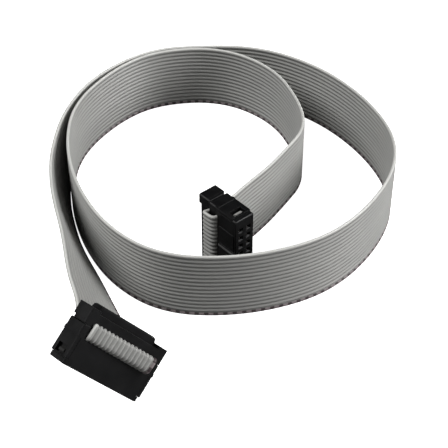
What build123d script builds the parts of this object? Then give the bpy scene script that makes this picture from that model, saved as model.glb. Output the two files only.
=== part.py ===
from build123d import *
import os
from math import atan, cos, degrees, radians, sin, tan

# A flat ribbon cable with an insulation-displacement socket crimped on each end.
# The cable stands on its edge and runs almost two turns, as a coil laid on a bench.
# Millimetres, +Z up. The floor is Z = 0 and the origin is on it, under the middle of
# the box that holds the two sockets. -Y is the side that the coil is looked at from.

# Cable
ways = 16
wire_pitch = 1.27
ribbon_thickness = 0.9
ribbon_width = ways * wire_pitch

# Socket housing. Its mating face is at height 0 and its length runs along the rows.
contact_pitch = 2 * wire_pitch
row_pitch = 2.54
end_margin = 3.56          # last contact to the end of the housing
body_width = 6.1
body_height = 7.0
corner_cut = 0.25
rim_chamfer = 0.2

# Pin entries and contact cavities in the housing
entry_size = 0.95
entry_flare = 0.25         # how far the lead-in widens on each side
entry_flare_depth = 0.35
entry_wall = 0.5
cavity_length = 1.7
cavity_width = 1.2
cavity_top = 5.6
fit_gap = 0.02             # between a contact and what it passes through

# Polarising key, the pad that it stands on, and the mark beside pin 1
key_width = 4.5
key_proud = 0.9
key_height = 6.0
key_chamfer = 0.3
pad_length = 15.2
pad_foot = 0.7
pad_height = 5.7
pad_proud = 0.15
mark_size = 1.3
mark_depth = 0.2
mark_edge = 0.4            # between the mark and the end of the pad

# Contacts: two spring fingers below, a piercing fork above
finger_thickness = 0.22
finger_width = 0.8
finger_foot = 0.55
finger_pinch = 2.0
finger_flare = 0.25
pinch_gap = 0.56
finger_root = 4.8
bridge_half = 0.74
fork_width = 1.0
fork_slot = 0.3
fork_thickness = 0.3
fork_reach = 1.0           # fork above the cable's upper face
fork_point = 0.3

# Cover that presses the cable onto the forks
cover_thickness = 2.3
cover_chamfer = 0.2
groove_width = 0.86
groove_depth = 0.33
groove_slope = 55
pocket_play = 0.08
seat_gap = 0.3             # cable's edge to the cover's end seats
cover_overhang = 0.5       # cover past the end of the housing
leg_thickness = 0.9
leg_setback = 0.2          # end of the cover to the leg's outer face
leg_foot = 1.4
channel_play = 0.1
catch_foot = 2.2
catch_width = 2.1
catch_height = 1.2
catch_proud = 0.75
window_width = 3.7
window_height = 2.2

# Strain relief clip over the folded cable
clip_length = 26.2
clip_width = 5.7
clip_bar = 2.4
ear_length = 3.0
ear_height = 3.2
rib_length = 18.3
rib_ramp = 0.8             # slope at each end of the rib
rib_width = 3.6
rib_shift = 0.8
rib_rise = 2.0
rib_chamfer = 0.3
clip_leg_inset = 1.2       # clip's end to the leg's outer face
clip_leg_thickness = 0.9
clip_leg_width = 3.2
clip_leg_reach = 1.6
clip_leg_play = 0.05

# Heights inside a socket, from its mating face, and what follows from them
per_row = ways // 2
body_length = (per_row - 1) * contact_pitch + 2 * end_margin
cover_length = body_length + 2 * cover_overhang
fold_radius = (cover_thickness + ribbon_thickness) / 2
cover_bottom = body_height + ribbon_thickness
cover_top = cover_bottom + cover_thickness
clip_bottom = cover_top + ribbon_thickness
trim = 0.2                 # cable's cut end, inside the side of the housing

# Where the sockets lie
standing_mouth = (21.2, 15.9)
standing_turn = 131.07     # heading of the cover, seen from its mating face
leaning_mouth = (-14.4, -24.2, 10.4)
leaning_tilt = (-46.8, 31.25, 45.1)

# The cable's route, by hand. The coil's middle line turns an arc inside each point.
coil_route = [
    (33.0, 52.0), (39.0, 62.5), (38.0, 75.5), (31.0, 93.5), (15.0, 105.0), (-5.0, 103.0),
    (-17.5, 92.5), (-27.5, 74.5), (-28.0, 55.5), (-23.5, 36.5), (-14.0, 19.0), (0.0, 8.0),
    (19.5, 7.0), (39.0, 13.0), (52.0, 24.5), (62.0, 42.0), (64.0, 59.0), (57.0, 78.0),
    (44.5, 94.5), (27.5, 105.0), (9.5, 106.0), (-7.5, 103.5), (-21.0, 89.5), (-29.5, 71.5),
    (-31.0, 52.0),
]
# Middle of the cable and how far it leans outward, between the coil and each socket
lead_stations = [(21.6, 33.4, 12.2, 0.0), (27.6, 42.8, 10.6, 0.0)]
tail_stations = [
    (-30.0, 45.2, 10.4, 8.0), (-28.0, 38.6, 10.9, 15.0), (-23.8, 25.2, 11.9, 22.0),
    (-19.4, 12.0, 13.1, 28.0), (-15.4, -1.6, 14.2, 34.0),
]


def contact_x(wire):
    """Place along the rows of the contact that takes a wire."""
    return (wire // 2 - (per_row - 1) / 2) * contact_pitch


def wire_x(wire):
    return (wire - (ways - 1) / 2) * wire_pitch


def row_y(wire):
    """Even wires go to the row at +Y, odd ones to the row at -Y."""
    return row_pitch / 2 if wire % 2 == 0 else -row_pitch / 2


fork_places = [(wire_x(wire), row_y(wire)) for wire in range(ways)]


def along(at, y):
    """Plane through a socket's length at y: sketch X runs along the rows, sketch Y is the height."""
    return Plane(origin=at.from_local_coords(Vector(0, y, 0)), x_dir=at.x_dir, z_dir=-at.y_dir)


def across(at, x):
    """Plane across a socket at x: sketch X is the socket's Y, sketch Y is the height."""
    return Plane(origin=at.from_local_coords(Vector(x, 0, 0)), x_dir=at.y_dir, z_dir=at.x_dir)


def make_housing(at):
    upward = Axis(at.origin, at.z_dir)
    with BuildPart() as housing:
        with BuildSketch(at) as outline:
            Rectangle(body_length, body_width)
            chamfer(outline.vertices(), corner_cut)
        extrude(amount=body_height)
        chamfer(housing.faces().sort_by(upward)[0].edges(), rim_chamfer)

        # Pad and key on the -Y side, with the mark cut into the pad
        with BuildSketch(along(at, -body_width / 2)) as pad:
            with Locations((0, pad_foot + pad_height / 2)):
                Rectangle(pad_length, pad_height)
            chamfer(pad.vertices(), corner_cut)
        extrude(amount=pad_proud)
        with BuildSketch(at):
            with Locations((0, -(body_width + key_proud) / 2)):
                Rectangle(key_width, key_proud)
        extrude(amount=key_height)
        key_face = housing.faces().sort_by(Axis(at.origin, at.y_dir))[0]
        chamfer(key_face.edges(), key_chamfer)
        with BuildSketch(along(at, -body_width / 2 - pad_proud)):
            with Locations((-pad_length / 2 + mark_edge + mark_size / 2, pad_foot + pad_height - mark_size)):
                Triangle(a=mark_size, b=mark_size, c=mark_size, rotation=180)
        extrude(amount=-mark_depth, mode=Mode.SUBTRACT)

        # Pin entries with a flared mouth, then the cavities and the necks for the forks
        with BuildSketch(at):
            with GridLocations(contact_pitch, row_pitch, per_row, 2):
                Rectangle(entry_size + 2 * entry_flare, entry_size + 2 * entry_flare)
        flare_angle = degrees(atan(entry_flare / entry_flare_depth))
        extrude(amount=entry_flare_depth, taper=flare_angle, mode=Mode.SUBTRACT)
        with BuildSketch(at):
            with GridLocations(contact_pitch, row_pitch, per_row, 2):
                Rectangle(entry_size, entry_size)
        extrude(amount=entry_wall, mode=Mode.SUBTRACT)
        with BuildSketch(at.offset(entry_wall)):
            with GridLocations(contact_pitch, row_pitch, per_row, 2):
                Rectangle(cavity_length, cavity_width)
        extrude(amount=cavity_top - entry_wall, mode=Mode.SUBTRACT)
        with BuildSketch(at.offset(cavity_top)):
            with Locations(*fork_places):
                Rectangle(fork_width + 2 * fit_gap, fork_thickness + 2 * fit_gap)
        extrude(amount=body_height - cavity_top, mode=Mode.SUBTRACT)

        # Step in each end for the cover's leg, with the ramped catch on it
        channel_depth = leg_thickness + leg_setback - cover_overhang + channel_play
        channel_foot = leg_foot - channel_play
        with BuildSketch(at.offset(channel_foot)):
            with GridLocations(body_length - channel_depth, 0, 2, 1):
                Rectangle(channel_depth, body_width)
        extrude(amount=body_height - channel_foot, mode=Mode.SUBTRACT)
        floor_x = body_length / 2 - channel_depth
        with BuildSketch(along(at, 0)):
            with BuildLine():
                Polyline(
                    (floor_x, catch_foot),
                    (floor_x + catch_proud, catch_foot),
                    (floor_x + catch_proud, catch_foot + catch_height / 2),
                    (floor_x, catch_foot + catch_height),
                    close=True,
                )
            make_face()
            mirror(about=Plane.YZ)
        extrude(amount=catch_width / 2, both=True)
    return housing


def make_cover(at):
    seat_length = (cover_length - ribbon_width) / 2 - seat_gap
    with BuildPart() as cover:
        with BuildSketch(at.offset(cover_bottom)) as outline:
            Rectangle(cover_length, body_width)
            chamfer(outline.vertices(), corner_cut)
        extrude(amount=cover_thickness)
        top = cover.faces().sort_by(Axis(at.origin, at.z_dir))[-1]
        chamfer(top.edges(), cover_chamfer)

        # End seats beside the cable, and a leg down from each of them
        with BuildSketch(at.offset(body_height)):
            with GridLocations(cover_length - seat_length, 0, 2, 1):
                Rectangle(seat_length, body_width)
        extrude(amount=ribbon_thickness)
        with BuildSketch(at.offset(leg_foot)):
            with GridLocations(cover_length - 2 * leg_setback - leg_thickness, 0, 2, 1):
                Rectangle(leg_thickness, body_width)
        extrude(amount=body_height - leg_foot)

        # Window in each leg that snaps over the housing's catch
        with BuildSketch(across(at, 0)):
            with Locations((0, catch_foot + catch_height / 2)):
                Rectangle(window_width, window_height)
        extrude(amount=cover_length / 2, both=True, mode=Mode.SUBTRACT)

        # A groove for each wire and a pocket for each fork
        with BuildSketch(along(at, 0)):
            with GridLocations(wire_pitch, 0, ways, 1):
                with Locations((0, cover_bottom + groove_depth / 2)):
                    Trapezoid(groove_width, groove_depth, groove_slope)
        extrude(amount=body_width / 2, both=True, mode=Mode.SUBTRACT)
        with BuildSketch(at.offset(cover_bottom)):
            with Locations(*fork_places):
                Rectangle(fork_width + 2 * pocket_play, fork_thickness + 2 * pocket_play)
        extrude(amount=fork_reach + pocket_play, mode=Mode.SUBTRACT)

        # Slots that the clip's legs press into
        with BuildSketch(at.offset(cover_top)):
            with GridLocations(clip_length - 2 * clip_leg_inset - clip_leg_thickness, 0, 2, 1):
                Rectangle(clip_leg_thickness + 2 * clip_leg_play, clip_leg_width + 2 * clip_leg_play)
        extrude(amount=-clip_leg_reach - clip_leg_play, mode=Mode.SUBTRACT)
    return cover


def make_clip(at):
    with BuildPart() as clip:
        with BuildSketch(at.offset(clip_bottom)) as outline:
            Rectangle(clip_length, clip_width)
            chamfer(outline.vertices(), corner_cut)
        extrude(amount=clip_bar)
        with BuildSketch(at.offset(clip_bottom)) as ears:
            with GridLocations(clip_length - ear_length, 0, 2, 1):
                Rectangle(ear_length, clip_width)
            chamfer(ears.vertices(), corner_cut)
        extrude(amount=ear_height)
        with BuildSketch(along(at, rib_shift)):
            with Locations((0, clip_bottom + clip_bar + rib_rise / 2)):
                Trapezoid(rib_length + 2 * rib_ramp, rib_rise, degrees(atan(rib_rise / rib_ramp)))
        extrude(amount=rib_width / 2, both=True)
        top = clip.faces().sort_by(Axis(at.origin, at.z_dir))[-1]
        chamfer(top.edges(), rib_chamfer)
        with BuildSketch(at.offset(cover_top - clip_leg_reach)):
            with GridLocations(clip_length - 2 * clip_leg_inset - clip_leg_thickness, 0, 2, 1):
                Rectangle(clip_leg_thickness, clip_leg_width)
        extrude(amount=clip_leg_reach + ribbon_thickness)
    return clip


def make_contact(at, wire):
    """A stamped contact: fingers that pinch a pin, and a fork that straddles one wire."""
    x = contact_x(wire)
    fork_x = wire_x(wire)
    plane = along(at, row_y(wire))
    with BuildPart() as contact:
        with BuildSketch(plane):
            for side in (-1, 1):
                with BuildLine():
                    Polyline(
                        (x + side * (pinch_gap + finger_thickness + 2 * finger_flare) / 2, finger_foot),
                        (x + side * (pinch_gap + finger_thickness) / 2, finger_pinch),
                        (x + side * (bridge_half - finger_thickness / 2), finger_root),
                    )
                trace(line_width=finger_thickness)
        extrude(amount=finger_width / 2, both=True)
        with BuildSketch(plane):
            with Locations((x, (finger_root + cavity_top) / 2)):
                Rectangle(2 * bridge_half, cavity_top - finger_root)
        extrude(amount=finger_width / 2, both=True)

        # The fork: a slot for the wire between two points that pierce the insulation
        tip = cover_bottom + fork_reach
        half = fork_width / 2
        slot = fork_slot / 2
        with BuildSketch(plane):
            with BuildLine():
                Polyline(
                    (fork_x - half, cavity_top), (fork_x - half, tip - fork_point),
                    (fork_x - slot - fork_point / 2, tip), (fork_x - slot, tip - fork_point),
                    (fork_x - slot, body_height), (fork_x + slot, body_height),
                    (fork_x + slot, tip - fork_point), (fork_x + slot + fork_point / 2, tip),
                    (fork_x + half, tip - fork_point), (fork_x + half, cavity_top),
                    close=True,
                )
            make_face()
        extrude(amount=fork_thickness / 2, both=True)
    return contact


def station_plane(middle, heading, lean):
    """Plane across the cable at a station, its X up the cable's width, leaning outward."""
    outward = Vector(heading.Y, -heading.X, 0).normalized()
    width_way = Vector(0, 0, 1) * cos(radians(lean)) + outward * sin(radians(lean))
    width_way = width_way - heading * width_way.dot(heading)
    return Plane(origin=middle, x_dir=width_way.normalized(), z_dir=heading)


def span_planes(first, stations, last):
    """Planes of a free span between two end planes. Each station heads from the one before
    it to the one after it."""
    middles = [first.origin] + [Vector(*station[:3]) for station in stations] + [last.origin]
    planes = [first]
    for index, station in enumerate(stations, start=1):
        heading = (middles[index + 1] - middles[index - 1]).normalized()
        planes.append(station_plane(middles[index], heading, station[3]))
    return planes + [last]


def arc_radii(route):
    """The radius at each inner point: 0.45 of the shorter run, over the tangent of half the turn."""
    radii = []
    for before, here, after in zip(route, route[1:], route[2:]):
        run_in = Vector(here[0] - before[0], here[1] - before[1])
        run_out = Vector(after[0] - here[0], after[1] - here[1])
        turn = run_in.get_angle(run_out)
        radii.append(0.45 * min(run_in.length, run_out.length) / tan(radians(turn / 2)))
    return radii


def end_plane(route, index, beyond):
    """Plane across the standing cable at an end of its route, heading from one point to the next."""
    here = Vector(route[index][0], route[index][1], ribbon_width / 2)
    there = Vector(route[beyond][0], route[beyond][1], ribbon_width / 2)
    heading = (there - here) if index == 0 else (here - there)
    return Plane(origin=here, x_dir=(0, 0, 1), z_dir=heading.normalized())


def exit_plane(at, way):
    """Plane across the cable where it leaves a socket over the cover. way is 1 to leave, -1 to enter."""
    origin = at.from_local_coords(Vector(0, body_width / 2, clip_bottom - ribbon_thickness / 2))
    up = at.x_dir if at.x_dir.Z > 0 else -at.x_dir
    return Plane(origin=origin, x_dir=up, z_dir=at.y_dir * way)


standing = Plane(
    origin=(standing_mouth[0], standing_mouth[1], clip_length / 2),
    x_dir=(0, 0, 1),
    z_dir=(cos(radians(standing_turn)), sin(radians(standing_turn)), 0),
)
leaning = Plane(Location(leaning_mouth, leaning_tilt))


def make_ribbon():
    lengths = {}
    with BuildPart() as ribbon:
        # The coil on its edge
        with BuildSketch() as strip:
            with BuildLine() as middle_line:
                FilletPolyline(*coil_route, radius=arc_radii(coil_route))
            trace(line_width=ribbon_thickness)
        lengths["coil"] = sum(edge.length for edge in middle_line.edges())
        extrude(amount=ribbon_width)

        # The fold in each socket: in over the housing, round the cover and back under the clip
        for name, at in (("standing", standing), ("leaning", leaning)):
            lower = body_height + ribbon_thickness / 2
            with BuildSketch(across(at, -ribbon_width / 2)):
                with BuildLine() as fold:
                    Line((body_width / 2 - trim, lower), (-body_width / 2, lower))
                    CenterArc((-body_width / 2, lower + fold_radius), fold_radius, 90, 180)
                    Line((-body_width / 2, lower + 2 * fold_radius), (body_width / 2, lower + 2 * fold_radius))
                trace(line_width=ribbon_thickness)
            lengths[name + " fold"] = sum(edge.length for edge in fold.edges())
            extrude(amount=ribbon_width)

        # The free spans between the coil and the sockets
        lead = span_planes(exit_plane(standing, 1), lead_stations, end_plane(coil_route, 0, 1))
        tail = span_planes(end_plane(coil_route, -1, -2), tail_stations, exit_plane(leaning, -1))
        for name, planes in (("lead", lead), ("tail", tail)):
            steps = zip(planes, planes[1:])
            lengths[name] = sum((b.origin - a.origin).length for a, b in steps)
            for plane in planes:
                with BuildSketch(plane):
                    Rectangle(ribbon_width, ribbon_thickness)
            loft()

        # What the forks have pierced
        for at in (standing, leaning):
            prong = (fork_width - fork_slot) / 2
            with BuildSketch(at.offset(body_height)):
                for x, y in fork_places:
                    with Locations((x, y)):
                        with GridLocations(fork_width - prong, 0, 2, 1):
                            Rectangle(prong + 2 * fit_gap, fork_thickness + 2 * fit_gap)
            extrude(amount=ribbon_thickness, mode=Mode.SUBTRACT)
    return ribbon, lengths


os.makedirs("parts", exist_ok=True)


def save(piece, name):
    piece.part.label = name
    export_step(piece.part, f"parts/{name}.step")


cable, cable_lengths = make_ribbon()
save(cable, "ribbon")
key_behind = Plane(origin=leaning.origin, x_dir=-leaning.x_dir, z_dir=leaning.z_dir)
for socket, at, housing_at in (("standing", standing, standing), ("leaning", leaning, key_behind)):
    save(make_housing(housing_at), socket + "_housing")
    save(make_cover(at), socket + "_cover")
    save(make_clip(at), socket + "_clip")
    for wire in range(ways):
        save(make_contact(at, wire), f"{socket}_contact_{wire + 1:02d}")

total = sum(cable_lengths.values())
section = ribbon_width * ribbon_thickness
print("arc radii", [round(radius, 1) for radius in arc_radii(coil_route)])
print("lengths", {name: round(length, 1) for name, length in cable_lengths.items()}, round(total, 1))
print("volume", round(cable.part.volume, 1), "length x section", round(total * section, 1))
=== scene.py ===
# %% [markdown]
# # A flat ribbon cable with a crimped socket on each end
#
# The construction is already done: every hard piece comes in as a fixed frame, at its
# real size and place, in metres. This script dresses it: the cable gets its sixteen
# ribs, each piece gets the finish that its real material has, and the whole is lit and
# seen as on a white bench.
#
# The frame is loaded first.

import bpy
import numpy as np
from mathutils import Euler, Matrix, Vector


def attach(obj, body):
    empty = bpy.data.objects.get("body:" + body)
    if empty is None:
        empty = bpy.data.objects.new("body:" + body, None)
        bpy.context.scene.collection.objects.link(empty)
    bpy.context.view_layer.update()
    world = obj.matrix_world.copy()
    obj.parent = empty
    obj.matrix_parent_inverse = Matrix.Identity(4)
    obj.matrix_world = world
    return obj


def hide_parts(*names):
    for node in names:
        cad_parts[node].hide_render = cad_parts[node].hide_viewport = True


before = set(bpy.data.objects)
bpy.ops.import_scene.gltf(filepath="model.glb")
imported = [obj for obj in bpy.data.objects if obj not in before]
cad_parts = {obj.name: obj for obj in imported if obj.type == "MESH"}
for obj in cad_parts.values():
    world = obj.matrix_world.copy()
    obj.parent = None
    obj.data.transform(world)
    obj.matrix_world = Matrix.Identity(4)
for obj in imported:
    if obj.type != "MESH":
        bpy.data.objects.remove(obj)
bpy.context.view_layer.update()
scene = bpy.context.scene
mm = 0.001
print("pieces in the frame:", len(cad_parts))

# %% [markdown]
# ## Camera
#
# The cable was seen from in front and about 40 degrees above, from roughly a third of a
# metre away, with a lens long enough to keep the two turns from bulging. A camera can be
# turned by hand until it looks right, but here its place and the point that it looks at
# were fitted to the cable's edges and the sockets' corners, so both are written as found.

# %% Camera
camera_place = np.array([16.0, -214.1, 217.1]) * mm
looked_at = np.array([16.0, 43.9, 0.0]) * mm

camera_data = bpy.data.cameras.new("bench_camera")
camera_data.lens = 96.4
camera_data.sensor_width = 36.0
camera_data.clip_start = 0.01
camera = bpy.data.objects.new("bench_camera", camera_data)
camera.location = camera_place
camera.rotation_euler = Vector(looked_at - camera_place).to_track_quat("-Z", "Y").to_euler()
scene.collection.objects.link(camera)
scene.camera = camera
scene.view_settings.view_transform = "Standard"
print("camera distance, mm:", round(float(np.linalg.norm(looked_at - camera_place)) / mm))

# %% [markdown]
# ## The way the cable runs
#
# A ribbon cable bends easily across its thickness and hardly at all across its width, so
# stood on its edge it lies in wide, even curves. Its middle line could be drawn as arcs and
# straight runs, but a real cable never changes its curve at once. A NURBS spline with a few
# given points is smooth all the way, as the cable is.
#
# In each socket the cable goes in over the body, folds back round the cover and leaves
# under the clip. Those few points are given in the socket's own directions. Where the mouth
# of each socket lies, and how it is turned, was fitted to the corners that can be seen.

# %% Points of the route
wires = 16
pitch_mm = 1.27
wire_pitch = pitch_mm * mm
cable_width = wires * wire_pitch
half_thickness = 0.45 * mm

# x, y and height of the middle line in millimetres, and the outward lean in degrees. The
# coil stands upright on its edge, so its middle line lies half a width above the bench.
lead_points = [(21.6, 33.4, 12.2, 0.0), (27.6, 42.8, 10.6, 0.0)]
coil_points = [
    (33.0, 52.0), (39.0, 62.5), (38.0, 75.5), (31.0, 93.5), (15.0, 105.0), (-5.0, 103.0),
    (-17.5, 92.5), (-27.5, 74.5), (-28.0, 55.5), (-23.5, 36.5), (-14.0, 19.0), (0.0, 8.0),
    (19.5, 7.0), (39.0, 13.0), (52.0, 24.5), (62.0, 42.0), (64.0, 59.0), (57.0, 78.0),
    (44.5, 94.5), (27.5, 105.0), (9.5, 106.0), (-7.5, 103.5), (-22.5, 89.5), (-30.0, 71.5),
]
coil_height = wires * pitch_mm / 2
tail_points = [
    (-30.0, 52.0, 10.2, 10.0), (-28.0, 40.0, 10.5, 15.0), (-25.5, 30.0, 11.0, 18.0),
    (-20.5, 16.0, 12.0, 25.0), (-16.5, 2.0, 13.0, 34.0), (-12.5, -8.5, 14.0, 38.0),
]
standing_mouth = np.array([21.2, 15.9, 13.1]) * mm
leaning_mouth = np.array([-14.4, -24.2, 10.4]) * mm
standing_turn = np.radians(131.07)
leaning_tilt = np.radians([-46.8, 31.25, 45.1])

# Along the rows, across a socket and up from its mating face, in millimetres: in over the
# body, round the cover and out under the clip. One fold sits a little to one side, and its
# width leans across the socket by a small share, given for each point.
standing_fold = np.array([
    (0.0, 2.85, 7.45), (0.0, -1.45, 7.45), (0.0, -3.0, 7.4), (0.0, -3.95, 8.0),
    (0.0, -4.1, 9.6), (0.0, -4.1, 11.2), (0.0, -3.2, 10.75), (0.0, -1.45, 10.65),
    (0.0, 3.05, 10.65), (0.0, 5.0, 10.65),
])
leaning_fold = np.array([
    (0.0, 2.85, 7.45), (0.0, -1.45, 7.45), (-0.3, -3.2, 7.35), (-0.6, -4.3, 7.7),
    (-0.7, -4.45, 9.4), (-0.6, -4.4, 11.3), (-0.3, -3.3, 10.75), (0.0, -1.45, 10.65),
    (0.0, 3.05, 10.65), (0.0, 5.0, 10.65),
])
leaning_skew = np.array([0.0, 0.0, 0.04, 0.08, 0.08, 0.08, 0.04, 0.0, 0.0, 0.0])

standing_up = np.array([np.cos(standing_turn), np.sin(standing_turn), 0.0])
standing_rows = np.array([0.0, 0.0, 1.0])
standing_side = np.cross(standing_up, standing_rows)
standing_axes = np.column_stack([standing_rows, standing_side, standing_up])
leaning_axes = np.array(Euler(leaning_tilt, "ZYX").to_matrix())
print("leaning socket looks along", leaning_axes[:, 2].round(4))


def in_socket(points, mouth, axes):
    """Points in a socket's own directions, moved to where the socket is.

    Formula: the mouth, plus each of the three numbers times the direction that it belongs
    to, which are the columns of the axes."""
    return mouth + points * mm @ axes.T


coil = np.array([(x, y, coil_height, 0.0) for x, y in coil_points])
free = np.vstack([lead_points, coil, tail_points])
middle_points = np.vstack([
    in_socket(standing_fold, standing_mouth, standing_axes),
    free[:, :3] * mm,
    in_socket(leaning_fold, leaning_mouth, leaning_axes)[::-1],
])
print("points of the route:", len(middle_points))

# %% [markdown]
# A ribbon also has to know which way its width points. In the sockets it follows the rows
# of contacts. On the bench it stands up, and leans outward by the given angle. The upper
# edge of the cable is then a second spline, half a width from the first, and where the two
# are read at the same places they give the direction of the width.

# %% Upper edge of the cable
def unit(ways):
    """Directions at length 1. Formula: each row is divided by its own length."""
    return ways / np.linalg.norm(ways, axis=1, keepdims=True)


def width_ways(points, leans):
    """Direction of the cable's width at each point of the route.

    Formula: the heading runs from the point before to the point after. Outward is the
    heading turned a quarter to the right, kept level. The width is the upright times the
    cosine of the lean, plus outward times its sine, less what lies along the heading."""
    heading = unit(np.gradient(points, axis=0))
    outward = unit(np.column_stack([heading[:, 1], -heading[:, 0], np.zeros(len(points))]))
    upright = np.array([0.0, 0.0, 1.0])
    ways = np.cos(leans)[:, None] * upright + np.sin(leans)[:, None] * outward
    return unit(ways - heading * (ways * heading).sum(axis=1, keepdims=True))


fold_count = len(standing_fold)
no_lean = np.zeros(fold_count)
leans = np.radians(np.concatenate([no_lean, free[:, 3], no_lean]))
ways = width_ways(middle_points, leans)
ways[:fold_count] = standing_axes[:, 0]
ways[-fold_count:] = leaning_skew[::-1, None] * leaning_axes[:, 1] - leaning_axes[:, 0]
edge_points = middle_points + ways * cable_width / 2


def spline_line(name, points, steps):
    """Reads the points of a smooth NURBS spline that has the given control points.

    Formula: the curve is a quadratic B-spline, so it touches the middle of each leg
    between two control points, and it is read at a set number of steps a leg."""
    data = bpy.data.curves.new(name, "CURVE")
    data.dimensions = "3D"
    data.resolution_u = steps
    spline = data.splines.new("NURBS")
    spline.points.add(len(points) - 1)
    spline.points.foreach_set("co", np.column_stack([points, np.ones(len(points))]).ravel())
    spline.order_u = 3
    spline.use_endpoint_u = True
    holder = bpy.data.objects.new(name, data)
    scene.collection.objects.link(holder)
    bpy.context.view_layer.update()
    line = bpy.data.meshes.new_from_object(holder)
    places = np.empty(len(line.vertices) * 3)
    line.vertices.foreach_get("co", places)
    bpy.data.objects.remove(holder)
    bpy.data.curves.remove(data)
    bpy.data.meshes.remove(line)
    return places.reshape(-1, 3)


steps_a_leg = 8
middle = spline_line("middle_line", middle_points, steps_a_leg)
upper_edge = spline_line("upper_edge", edge_points, steps_a_leg)
step_lengths = np.linalg.norm(np.diff(middle, axis=0), axis=1)
along = np.concatenate([[0.0], np.cumsum(step_lengths)])

# %% [markdown]
# ## The ribbed cable
#
# The real cable is extruded: sixteen stranded wires run through one die, and the soft PVC
# round each one joins its neighbours in a thin web. The outside is sixteen round ribs with
# fifteen grooves. The section could be drawn as circles and joined with a boolean, but it is
# the same all the way, so a profile carried along the route is lighter and cleaner.

# %% Section of the cable
def half_section(samples):
    """Places across the cable and the half thickness at each of them.

    Formula: inside each pitch the rib is a circle of the half thickness, joined softly to a
    web of 0.36 of it by taking the fourth root of the sum of their fourth powers. Past the
    centre of an outer wire the edge is a quarter of an ellipse that closes the section."""
    web_share, softness = 0.36, 4
    in_wires = np.linspace(-wires / 2, wires / 2, wires * samples + 1)
    off_centre = (np.mod(in_wires, 1.0) - 0.5) * wire_pitch
    rib = np.sqrt(np.clip(1 - (off_centre / half_thickness) ** 2, 0, None))
    ribbed = (rib ** softness + web_share ** softness) ** (1 / softness)
    ribbed /= ribbed.max()
    outer = (wires - 1) / 2
    past = np.abs(in_wires) > outer
    beyond = np.clip((np.abs(in_wires) - outer) * 2, 0, 1)
    eased = np.sin(np.pi / 2 * beyond)
    edge_places = np.sign(in_wires) * (outer + 0.5 * eased)
    across = np.where(past, edge_places, in_wires) * wire_pitch
    half = np.where(past, np.sqrt(np.clip(1 - eased ** 2, 0, None)), ribbed)
    return across, half * half_thickness


places_a_wire = 6
across, half = half_section(places_a_wire)
print("places across:", len(across))
print("groove to crest:", round(float(half[places_a_wire] / half.max()), 2))

# %% [markdown]
# The section is now carried along the line. At each station the width direction comes from
# the two splines, the heading from the line, and the thickness direction is square to both.
# The points are one array, a row for each station, and the faces join each row to the next.
# The two cut ends are closed with a strip that joins one side of the cable to the other.

# %% Cable surface
def carry_section(middle, upper_edge, across, half):
    """The cable's surface as rings of points, one ring for each station.

    Formula: a point is the middle line, plus its place across times the width direction,
    plus or minus the half thickness times the direction square to the width and heading.
    The width direction runs to the upper edge as it is, also where that isn't square to the
    line, so that a fold can lie askew."""
    heading = unit(np.gradient(middle, axis=0))
    width_way = unit(upper_edge - middle)
    outward = unit(np.cross(heading, width_way))
    ring_across = np.concatenate([across, across[-2:0:-1]])
    ring_half = np.concatenate([half, -half[-2:0:-1]])
    rings = (
        middle[:, None, :]
        + ring_across[None, :, None] * width_way[:, None, :]
        + ring_half[None, :, None] * outward[:, None, :]
    )
    return rings, ring_across, ring_half


def ring_faces(stations, around, per_side):
    """Quads between the rings, and the faces of the two end strips.

    Formula: point j of ring i is joined to point j + 1 and to the same two of ring i + 1.
    On an end, point j of one side is joined to point around - j of the other. Both sides
    share the first and the last point, so each strip begins and ends with a triangle."""
    i, j = np.meshgrid(np.arange(stations - 1), np.arange(around), indexing="ij")
    after = (j + 1) % around
    sides = np.stack([
        i * around + j, i * around + after, (i + 1) * around + after, (i + 1) * around + j,
    ], axis=-1).reshape(-1, 4)
    k = np.arange(per_side - 1)
    strip = np.stack([k, (around - k) % around, (around - k - 1) % around, k + 1], axis=-1)
    quads, tips = strip[1:-1], np.stack([strip[0, 1:], strip[-1, :3]])
    last_ring = (stations - 1) * around
    start = quads.tolist() + tips.tolist()
    finish = (quads[:, ::-1] + last_ring).tolist() + (tips[:, ::-1] + last_ring).tolist()
    return sides.tolist(), start + finish


rings, ring_across, ring_half = carry_section(middle, upper_edge, across, half)
stations, around = rings.shape[:2]
sides, caps = ring_faces(stations, around, len(across))

cable_mesh = bpy.data.meshes.new("ribbed_cable")
cable_mesh.from_pydata(rings.reshape(-1, 3), [], sides + caps)
cable_mesh.update()
print("faces of the cable:", len(cable_mesh.polygons))

# %% [markdown]
# The finish has to follow the cable, so the surface gets two maps of its own: how far along
# and how far across each corner lies, in millimetres. The seam is handled by giving each
# face's corners their own numbers. A second pair gives the place in the section, for the
# wires that show in the cut ends.

# %% Maps along and across the cable
def add_map(mesh, name, first, second):
    """Gives each corner of the mesh the two numbers that belong to it, as a map."""
    numbers = np.column_stack([first, second]).astype(np.float32)
    mesh.uv_layers.new(name=name).data.foreach_set("uv", numbers.ravel())


corner_points = np.empty(len(cable_mesh.loops), dtype=np.int32)
cable_mesh.loops.foreach_get("vertex_index", corner_points)
along_mm = along[corner_points // around] / mm
across_mm = ring_across[corner_points % around] / mm
half_mm = ring_half[corner_points % around] / mm
add_map(cable_mesh, "along_across", along_mm, across_mm)
add_map(cable_mesh, "in_section", across_mm, half_mm)

on_cap = np.zeros(len(cable_mesh.polygons), dtype=np.int32)
on_cap[len(sides):] = 1
cable_mesh.polygons.foreach_set("material_index", on_cap)
cable_mesh.polygons.foreach_set("use_smooth", on_cap == 0)

cable = bpy.data.objects.new("ribbed_cable", cable_mesh)
scene.collection.objects.link(cable)
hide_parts("ribbon")
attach(cable, "root")
print("cable mesh, triangles:", len(cable_mesh.loops) - 2 * len(cable_mesh.polygons))

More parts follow.
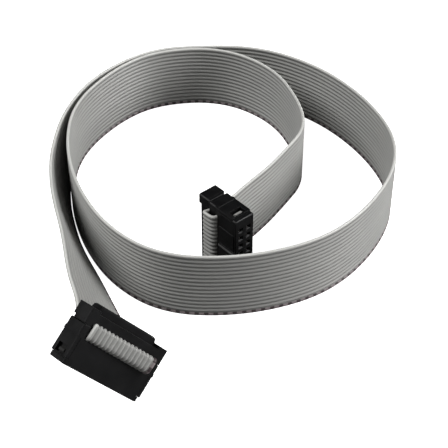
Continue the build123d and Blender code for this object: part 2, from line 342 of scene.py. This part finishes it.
# %% [markdown]
# The cable is free from the clip of one socket to the clip of the other, and each clip
# grips it 3.3 mm in from its edge. That stretch of the middle line is its free path. Its
# real length also counts the folds inside the sockets.

# %% Free length of the cable
def between(line, along, first, last):
    """The part of a line between two lengths along it, with a new point at each end.

    Formula: the lengths of the points in between are kept, the two ends are added, and
    each coordinate is read off at those lengths in straight steps."""
    kept = along[(along > first) & (along < last)]
    read_at = np.concatenate([[first], kept, [last]])
    return np.column_stack([np.interp(read_at, along, line[:, k]) for k in range(3)])


# In both folds the last point but one lies at the edge of the clip
clip_edge = standing_fold[-2] * mm
grip = 3.3 * mm
leaves_standing = standing_mouth + standing_axes @ clip_edge
enters_leaning = leaning_mouth + leaning_axes @ clip_edge
leaves_at = along[np.linalg.norm(middle - leaves_standing, axis=1).argmin()]
enters_at = along[np.linalg.norm(middle - enters_leaning, axis=1).argmin()]
free_path = between(middle, along, leaves_at - grip, enters_at + grip)
free_length = float(np.linalg.norm(np.diff(free_path, axis=0), axis=1).sum())
print("free length, mm:", round(free_length / mm, 1))

# %% [markdown]
# ## Feet of the clips
#
# The bar of a real clip ends in a foot on each side, which fills the gap beside the cable and
# rests on the cover, so that the clip can't be pressed down too far. Only a small notch is
# left open at one corner, where a blade can lift it. A foot could be cut from a block
# with booleans, but it is an outline carried across the clip, narrower at its two ends.

# %% Feet of the clips
def clip_feet(mouth, axes):
    """Two feet as rings of one outline, in metres, with quads between and a cap on each end.

    Formula: a point is the mouth, plus the outline's first number times the rows direction,
    plus the ring's place times the side direction, plus the outline's second number times
    the upward direction. The end rings are drawn in at the outer face, more at the notch."""
    inner_face, outer_face = 10.5, 13.08
    bottom, top = 10.22, 11.3
    outline = np.array([
        (inner_face, bottom), (12.9, bottom), (13.0, 10.26), (outer_face, 10.4),
        (outer_face, top), (inner_face, top),
    ])
    ring_places = np.array([-2.83, -2.63, 1.75, 2.1])
    drawn_in = np.array([0.2, 0.0, 0.0, 0.45])
    rows = np.minimum(outline[None, :, 0], outer_face - drawn_in[:, None])
    heights = np.broadcast_to(outline[None, :, 1], rows.shape)
    sides = np.broadcast_to(ring_places[:, None], rows.shape)
    one_foot = np.stack([rows, sides, heights], axis=-1).reshape(-1, 3)
    mirrored = one_foot * np.array([-1.0, 1.0, 1.0])
    points = in_socket(np.vstack([one_foot, mirrored]), mouth, axes)
    around = len(outline)
    i, j = np.meshgrid(np.arange(len(ring_places) - 1), np.arange(around), indexing="ij")
    after = (j + 1) % around
    quads = np.stack([
        i * around + j, (i + 1) * around + j, (i + 1) * around + after, i * around + after,
    ], axis=-1).reshape(-1, 4)
    first_cap = np.arange(around)
    last_cap = first_cap[::-1] + (len(ring_places) - 1) * around
    one = [*quads.tolist(), first_cap.tolist(), last_cap.tolist()]
    other = [[corner + len(one_foot) for corner in face[::-1]] for face in one]
    return points, one + other


feet = []
for name, mouth, axes in (
    ("standing_clip_feet", standing_mouth, standing_axes),
    ("leaning_clip_feet", leaning_mouth, leaning_axes),
):
    points, foot_faces = clip_feet(mouth, axes)
    mesh = bpy.data.meshes.new(name)
    mesh.from_pydata(points, [], foot_faces)
    mesh.update()
    pair = bpy.data.objects.new(name, mesh)
    scene.collection.objects.link(pair)
    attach(pair, "root")
    feet.append(pair)
print("feet:", [pair.name for pair in feet])

# %% [markdown]
# ## Finishes
#
# A finish in Blender is a small network of nodes. Colours are written as they look on a
# screen, so one function turns them into the linear numbers that the renderer works in.
# Another adds a node, sets it and wires it up. The kinds of node that come back often have
# a short function each, which gives what the node puts out, so a finish reads as a recipe.

# %% Helpers for finishes
def linear(screen_colour):
    """Linear red, green, blue and opacity of a screen colour written as #rrggbb.

    Formula: the curve of the sRGB standard, straight near black and a power above it."""
    levels = np.array([int(screen_colour[i:i + 2], 16) for i in (1, 3, 5)]) / 255
    bent = np.where(levels <= 0.04045, levels / 12.92, ((levels + 0.055) / 1.055) ** 2.4)
    return (float(bent[0]), float(bent[1]), float(bent[2]), 1.0)


def add(tree, kind, settings=None, inputs=None):
    """Adds a node, sets its own settings, and fills or links its inputs."""
    node = tree.nodes.new(kind)
    for name, value in (settings or {}).items():
        setattr(node, name, value)
    for name, value in (inputs or {}).items():
        if isinstance(value, bpy.types.NodeSocket):
            tree.links.new(value, node.inputs[name])
        else:
            node.inputs[name].default_value = value
    return node


def calc(tree, operation, *numbers):
    """Result of one Math node, whose inputs are filled or linked in the order given."""
    node = add(tree, "ShaderNodeMath", {"operation": operation}, dict(enumerate(numbers)))
    return node.outputs["Value"]


def noise(tree, place, scale, detail):
    """Soft noise from 0 to 1, with about as many swells in one unit of place as the scale."""
    node = add(tree, "ShaderNodeTexNoise", inputs={
        "Vector": place, "Scale": scale, "Detail": detail,
    })
    return node.outputs["Fac"]


def scaled(tree, place, scales):
    """A place with each of its three numbers multiplied by a scale of its own."""
    node = add(tree, "ShaderNodeMapping", inputs={"Vector": place, "Scale": scales})
    return node.outputs["Vector"]


def spread(tree, value, taken, given):
    """A number moved in proportion from the range taken to the range given, and kept in it."""
    node = add(tree, "ShaderNodeMapRange", inputs={
        "Value": value, "From Min": taken[0], "From Max": taken[1],
        "To Min": given[0], "To Max": given[1],
    })
    return node.outputs["Result"]


def ramp(tree, share, low, high, ends=(0.0, 1.0)):
    """A colour that runs from low to high as the share runs from one end to the other."""
    node = add(tree, "ShaderNodeValToRGB", inputs={"Fac": share})
    for stop, end, colour in zip(node.color_ramp.elements, ends, (low, high)):
        stop.position = end
        stop.color = linear(colour)
    return node.outputs["Color"]


def mix(tree, share, first, second, blend="MIX"):
    """Two colours mixed by a share.

    A Mix node has one pair of inputs for each type of value, all with the same two names,
    so the colours are reached by number: 6 and 7 going in, and 2 coming out."""
    node = add(tree, "ShaderNodeMix", {"data_type": "RGBA", "blend_type": blend}, {
        "Factor": share, 6: first, 7: second,
    })
    return node.outputs[2]


def new_finish(name):
    """An empty material with one Principled shader that feeds its surface."""
    finish = bpy.data.materials.new(name)
    finish.use_nodes = True
    tree = finish.node_tree
    tree.nodes.clear()
    shader = tree.nodes.new("ShaderNodeBsdfPrincipled")
    out = tree.nodes.new("ShaderNodeOutputMaterial")
    tree.links.new(shader.outputs["BSDF"], out.inputs["Surface"])
    return finish, tree, shader


print("white is", linear("#ffffff"))

# %% [markdown]
# ### Extruded grey PVC
#
# Soft PVC comes out of the die with a satin skin. Along the run it keeps very faint draw
# lines and slow changes of tone. The web in each groove is painted darker as painted shade,
# and the upper edge paler as a painted highlight from the light above. One outer wire is
# marked: its skin is pinkish with short dark red dashes, about 1.1 mm long at a pitch of
# 2.45 mm, so that the sockets can't be fitted back to front.

# %% Finish of the cable
# Where a finish begins and where it is full, in millimetres across from the middle
# The first band is a painted highlight along the upper edge, the second the marked wire
highlight_band = (9.65, 9.95)
marked_wire = (-9.0, -9.15)
dash_pitch = 2.45


def extruded_grey_pvc():
    """Grey PVC, laid out by the map of millimetres along and across the cable."""
    finish, tree, shader = new_finish("extruded_grey_pvc")
    run = add(tree, "ShaderNodeUVMap", {"uv_map": "along_across"}).outputs["UV"]
    parts = add(tree, "ShaderNodeSeparateXYZ", inputs={"Vector": run})
    run_along, run_across = parts.outputs["X"], parts.outputs["Y"]

    # Draw lines are about 0.15 mm wide and 40 mm long, so the noise is stretched to that
    draw_lines = noise(tree, scaled(tree, run, (0.025, 6.0, 1.0)), 1.0, 3.0)
    slow_tone = noise(tree, scaled(tree, run, (0.03, 0.12, 1.0)), 1.0, 2.0)
    tones = calc(tree, "MULTIPLY_ADD", draw_lines, 0.5, slow_tone)
    grey = ramp(tree, tones, "#989896", "#a5a5a2", ends=(0.45, 1.0))

    # Painted shade on the web between two ribs: full in the groove and none on the crest, once
    # a pitch
    pitch_turns = calc(tree, "MULTIPLY", run_across, 2 * np.pi / pitch_mm)
    groove_shade = spread(tree, calc(tree, "COSINE", pitch_turns), (0.2, 0.9), (0.0, 0.6))
    groove_shaded = mix(tree, groove_shade, grey, linear("#b0b0ae"), "MULTIPLY")

    # Painted highlight: the last half millimetre of the upper edge is painted paler, where the
    # light from above meets it
    painted_highlight = spread(tree, run_across, highlight_band, (0.0, 0.85))
    highlighted = mix(tree, painted_highlight, groove_shaded, linear("#d6d6d2"))

    # The marked wire is the last one at the lower edge, and noise makes its dashes ragged
    marked = spread(tree, run_across, marked_wire, (0.0, 1.0))
    shifted = calc(tree, "MULTIPLY_ADD", noise(tree, run, 3.5, 1.0), 0.35, run_along)
    dash_turns = calc(tree, "MULTIPLY", shifted, 2 * np.pi / dash_pitch)
    dash = spread(tree, calc(tree, "SINE", dash_turns), (0.0, 0.3), (0.0, 1.0))
    mark_colour = mix(tree, dash, linear("#857c7d"), linear("#3e3436"))
    colour = mix(tree, marked, highlighted, mark_colour)
    tree.links.new(colour, shader.inputs["Base Color"])

    gloss = spread(tree, draw_lines, (0.0, 1.0), (0.40, 0.54))
    tree.links.new(gloss, shader.inputs["Roughness"])
    relief = add(tree, "ShaderNodeBump", inputs={
        "Height": noise(tree, run, 5.0, 3.0), "Strength": 0.12, "Distance": 0.05 * mm,
    })
    tree.links.new(relief.outputs["Normal"], shader.inputs["Normal"])
    shader.inputs["IOR"].default_value = 1.53
    return finish


# %% [markdown]
# Where the cable is cut, each wire shows as a bundle of tinned copper strands 0.38 mm
# across in the middle of its rib. The second map gives the place in the section, so the
# distance to the nearest wire's centre is enough to draw them.

# %% Finish of the cut ends
def cut_pvc_with_strands():
    """Cut grey PVC with a disc of copper strands in the middle of each pitch."""
    finish, tree, shader = new_finish("cut_pvc_with_strands")
    place = add(tree, "ShaderNodeUVMap", {"uv_map": "in_section"}).outputs["UV"]
    parts = add(tree, "ShaderNodeSeparateXYZ", inputs={"Vector": place})
    in_pitch = calc(tree, "WRAP", parts.outputs["X"], pitch_mm, 0.0)
    from_centre = calc(tree, "SUBTRACT", in_pitch, pitch_mm / 2)
    flat = add(tree, "ShaderNodeCombineXYZ", inputs={"X": from_centre, "Y": parts.outputs["Y"]})
    distance = add(tree, "ShaderNodeVectorMath", {"operation": "LENGTH"}, {
        0: flat.outputs["Vector"],
    })
    strands = spread(tree, distance.outputs["Value"], (0.20, 0.18), (0.0, 1.0))
    grain = add(tree, "ShaderNodeTexVoronoi", inputs={"Vector": place, "Scale": 8.0})
    copper = ramp(tree, grain.outputs["Distance"], "#c9b6a4", "#7d5f4a")
    colour = mix(tree, strands, linear("#858583"), copper)
    tree.links.new(colour, shader.inputs["Base Color"])
    tree.links.new(strands, shader.inputs["Metallic"])
    shader.inputs["Roughness"].default_value = 0.5
    return finish


cable_mesh.materials.append(extruded_grey_pvc())
cable_mesh.materials.append(cut_pvc_with_strands())
print("finishes of the cable:", [finish.name for finish in cable_mesh.materials])

# %% [markdown]
# ### Moulded black polyester
#
# The sockets, covers and clips are moulded in black polyester filled with glass fibre. The
# filler leaves the satin skin a little uneven, with a grain of about 0.2 mm, and handling
# polishes it in patches. Moulded edges are never sharp: a bevel in the shading of 0.12 mm
# lets each edge catch a thin line of light, and the mesh stays as it came.
#
# The two catches stand out from the ends of a socket, and the legs of the cover were forced
# over them. Their faces are painted pale as a painted highlight, strong on the standing
# socket and faint on the leaning one. They are found by their place in the socket's own
# directions, so the mesh needs no mark of its own.

# %% Finish of the sockets
# Middle and half size of a catch: along the rows, across the socket and up from its mouth
catch_middle = np.array([12.3, 0.0, 2.8]) * mm
catch_half = np.array([0.5, 1.1, 0.65]) * mm


def from_catch(tree, place, mouth, axes):
    """How far a place is from the middle of the nearer catch, in half sizes of the catch.

    Formula: along each of the socket's directions, take how far the place is from the
    mouth, either way, less the catch's middle, either way, over its half size. The largest
    of the three counts, so it is 1 all over the faces of a box round the catch."""
    from_mouth = add(tree, "ShaderNodeVectorMath", {"operation": "SUBTRACT"}, {
        0: place, 1: mouth.tolist(),
    })
    shares = []
    for way, middle_at, half_size in zip(axes.T, catch_middle, catch_half):
        along_way = add(tree, "ShaderNodeVectorMath", {"operation": "DOT_PRODUCT"}, {
            0: from_mouth.outputs["Vector"], 1: way.tolist(),
        })
        either_end = calc(tree, "ABSOLUTE", along_way.outputs["Value"])
        off_middle = calc(tree, "ABSOLUTE", calc(tree, "SUBTRACT", either_end, middle_at))
        shares.append(calc(tree, "DIVIDE", off_middle, half_size))
    return calc(tree, "MAXIMUM", calc(tree, "MAXIMUM", shares[0], shares[1]), shares[2])


def moulded_black_polyester(name, highlighted_catches=None):
    """Black plastic. The last argument gives a socket's mouth, its axes and the share of
    painted highlight on its catches.
    """
    finish, tree, shader = new_finish(name)
    place = add(tree, "ShaderNodeTexCoord").outputs["Object"]
    patches = noise(tree, place, 260.0, 3.0)
    colour = ramp(tree, patches, "#0a0a0b", "#111112", ends=(0.3, 0.7))
    if highlighted_catches is not None:
        mouth, axes, highlight_share = highlighted_catches
        # Painted highlight: the faces of the nearer catch are mixed toward pale grey by the
        # given share
        away = from_catch(tree, place, mouth, axes)
        painted_catch_highlight = spread(tree, away, (1.05, 0.95), (0.0, highlight_share))
        colour = mix(tree, painted_catch_highlight, colour, linear("#b4b4b0"))
    tree.links.new(colour, shader.inputs["Base Color"])
    gloss = spread(tree, patches, (0.3, 0.7), (0.36, 0.5))
    tree.links.new(gloss, shader.inputs["Roughness"])
    edges = add(tree, "ShaderNodeBevel", {"samples": 6}, {"Radius": 0.12 * mm})
    relief = add(tree, "ShaderNodeBump", inputs={
        "Height": noise(tree, place, 5000.0, 2.0), "Strength": 0.25, "Distance": 0.03 * mm,
        "Normal": edges.outputs["Normal"],
    })
    tree.links.new(relief.outputs["Normal"], shader.inputs["Normal"])
    shader.inputs["IOR"].default_value = 1.57
    shader.inputs["Specular IOR Level"].default_value = 0.2
    return finish


# %% [markdown]
# ### Tin-plated phosphor bronze
#
# The contacts are stamped from a thin strip of phosphor bronze and plated with tin, which
# gives a soft white metal with the faint lines of the rolled strip. Only their fingers show,
# as pale glints deep in the pin entries.

# %% Finish of the contacts
def tin_plated_bronze():
    """Soft white metal with the fine lines of rolled strip."""
    finish, tree, shader = new_finish("tin_plated_bronze")
    place = add(tree, "ShaderNodeTexCoord").outputs["Object"]
    rolled = noise(tree, scaled(tree, place, (9000.0, 600.0, 9000.0)), 1.0, 2.0)
    tree.links.new(ramp(tree, rolled, "#d2d0ca", "#f2f0ea"), shader.inputs["Base Color"])
    gloss = spread(tree, rolled, (0.0, 1.0), (0.38, 0.52))
    tree.links.new(gloss, shader.inputs["Roughness"])
    shader.inputs["Metallic"].default_value = 1.0
    return finish


black_plastic = moulded_black_polyester("moulded_black_polyester")
# Each housing gets a painted highlight on its catches, strong on the standing socket and faint
# on the leaning one
highlighted_catch_plastic = {
    "standing_housing": moulded_black_polyester(
        "black_polyester_catch_highlight", (standing_mouth, standing_axes, 0.55)),
    "leaning_housing": moulded_black_polyester(
        "black_polyester_faint_catch_highlight", (leaning_mouth, leaning_axes, 0.05)),
}
tin_plate = tin_plated_bronze()
for name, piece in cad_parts.items():
    if name == "ribbon":
        continue
    plastic = highlighted_catch_plastic.get(name, black_plastic)
    for slot in piece.material_slots:
        slot.material = tin_plate if "_contact_" in name else plastic
for pair in feet:
    pair.data.materials.append(black_plastic)
print("finished hard pieces:", len(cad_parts) - 1 + len(feet))

# %% [markdown]
# ## Bench and light
#
# The cable was lit for a plain white page, with a soft panel on each side, the left one
# higher, and little light from the front. So the ribs stand out where the cable faces the
# camera, and nearly vanish at the ends of the coil, where the light meets it. A white bench
# would show its shadows and light the cable from below. This one gives off white light that
# only the camera sees, and is a middling grey to all light that bounces off it.

# %% Bench
def bench_top(size):
    """A flat square on the floor.

    Formula: its corners are half its size each way, at height 0."""
    reach = size / 2
    corners = [
        (-reach, -reach, 0.0), (reach, -reach, 0.0), (reach, reach, 0.0), (-reach, reach, 0.0),
    ]
    mesh = bpy.data.meshes.new("white_bench")
    mesh.from_pydata(corners, [], [(0, 1, 2, 3)])
    return mesh


def matt_white_board():
    """White board to the camera, and grey board to every other ray."""
    finish, tree, shader = new_finish("matt_white_board")
    place = add(tree, "ShaderNodeTexCoord").outputs["Object"]
    cloudy = ramp(tree, noise(tree, place, 6.0, 2.0), "#fafaf9", "#fefefd")
    by_camera = add(tree, "ShaderNodeLightPath").outputs["Is Camera Ray"]
    seen = mix(tree, by_camera, linear("#8a8a8a"), cloudy)
    tree.links.new(seen, shader.inputs["Base Color"])
    shader.inputs["Emission Color"].default_value = linear("#ffffff")
    tree.links.new(by_camera, shader.inputs["Emission Strength"])
    shader.inputs["Roughness"].default_value = 0.9
    shader.inputs["Specular IOR Level"].default_value = 0.0
    return finish


bench_size = 6.0
bench_mesh = bench_top(bench_size)
bench_mesh.materials.append(matt_white_board())
bench = bpy.data.objects.new("white_bench", bench_mesh)
scene.collection.objects.link(bench)

# %% Lights
coil_middle = Vector((0.016, 0.05, 0.01))


def soft_panel(name, place, size, power):
    """A square light panel at a place in metres, turned to face the middle of the coil."""
    data = bpy.data.lights.new(name, "AREA")
    data.shape = "SQUARE"
    data.size = size
    data.energy = power
    panel = bpy.data.objects.new(name, data)
    panel.location = place
    towards = coil_middle - Vector(place)
    panel.rotation_euler = towards.to_track_quat("-Z", "Y").to_euler()
    scene.collection.objects.link(panel)


# Name, place, size in metres and power in watts
soft_panel("right_light", (0.82, -0.05, 0.42), 0.5, 9.6)
soft_panel("left_light", (-0.65, 0.0, 0.75), 0.5, 8.0)
soft_panel("front_light", (0.0, -0.9, 0.5), 0.6, 0.8)

world = bpy.data.worlds.new("studio_air")
world.use_nodes = True
background = world.node_tree.nodes["Background"]
background.inputs["Color"].default_value = linear("#ffffff")
background.inputs["Strength"].default_value = 0.02
scene.world = world
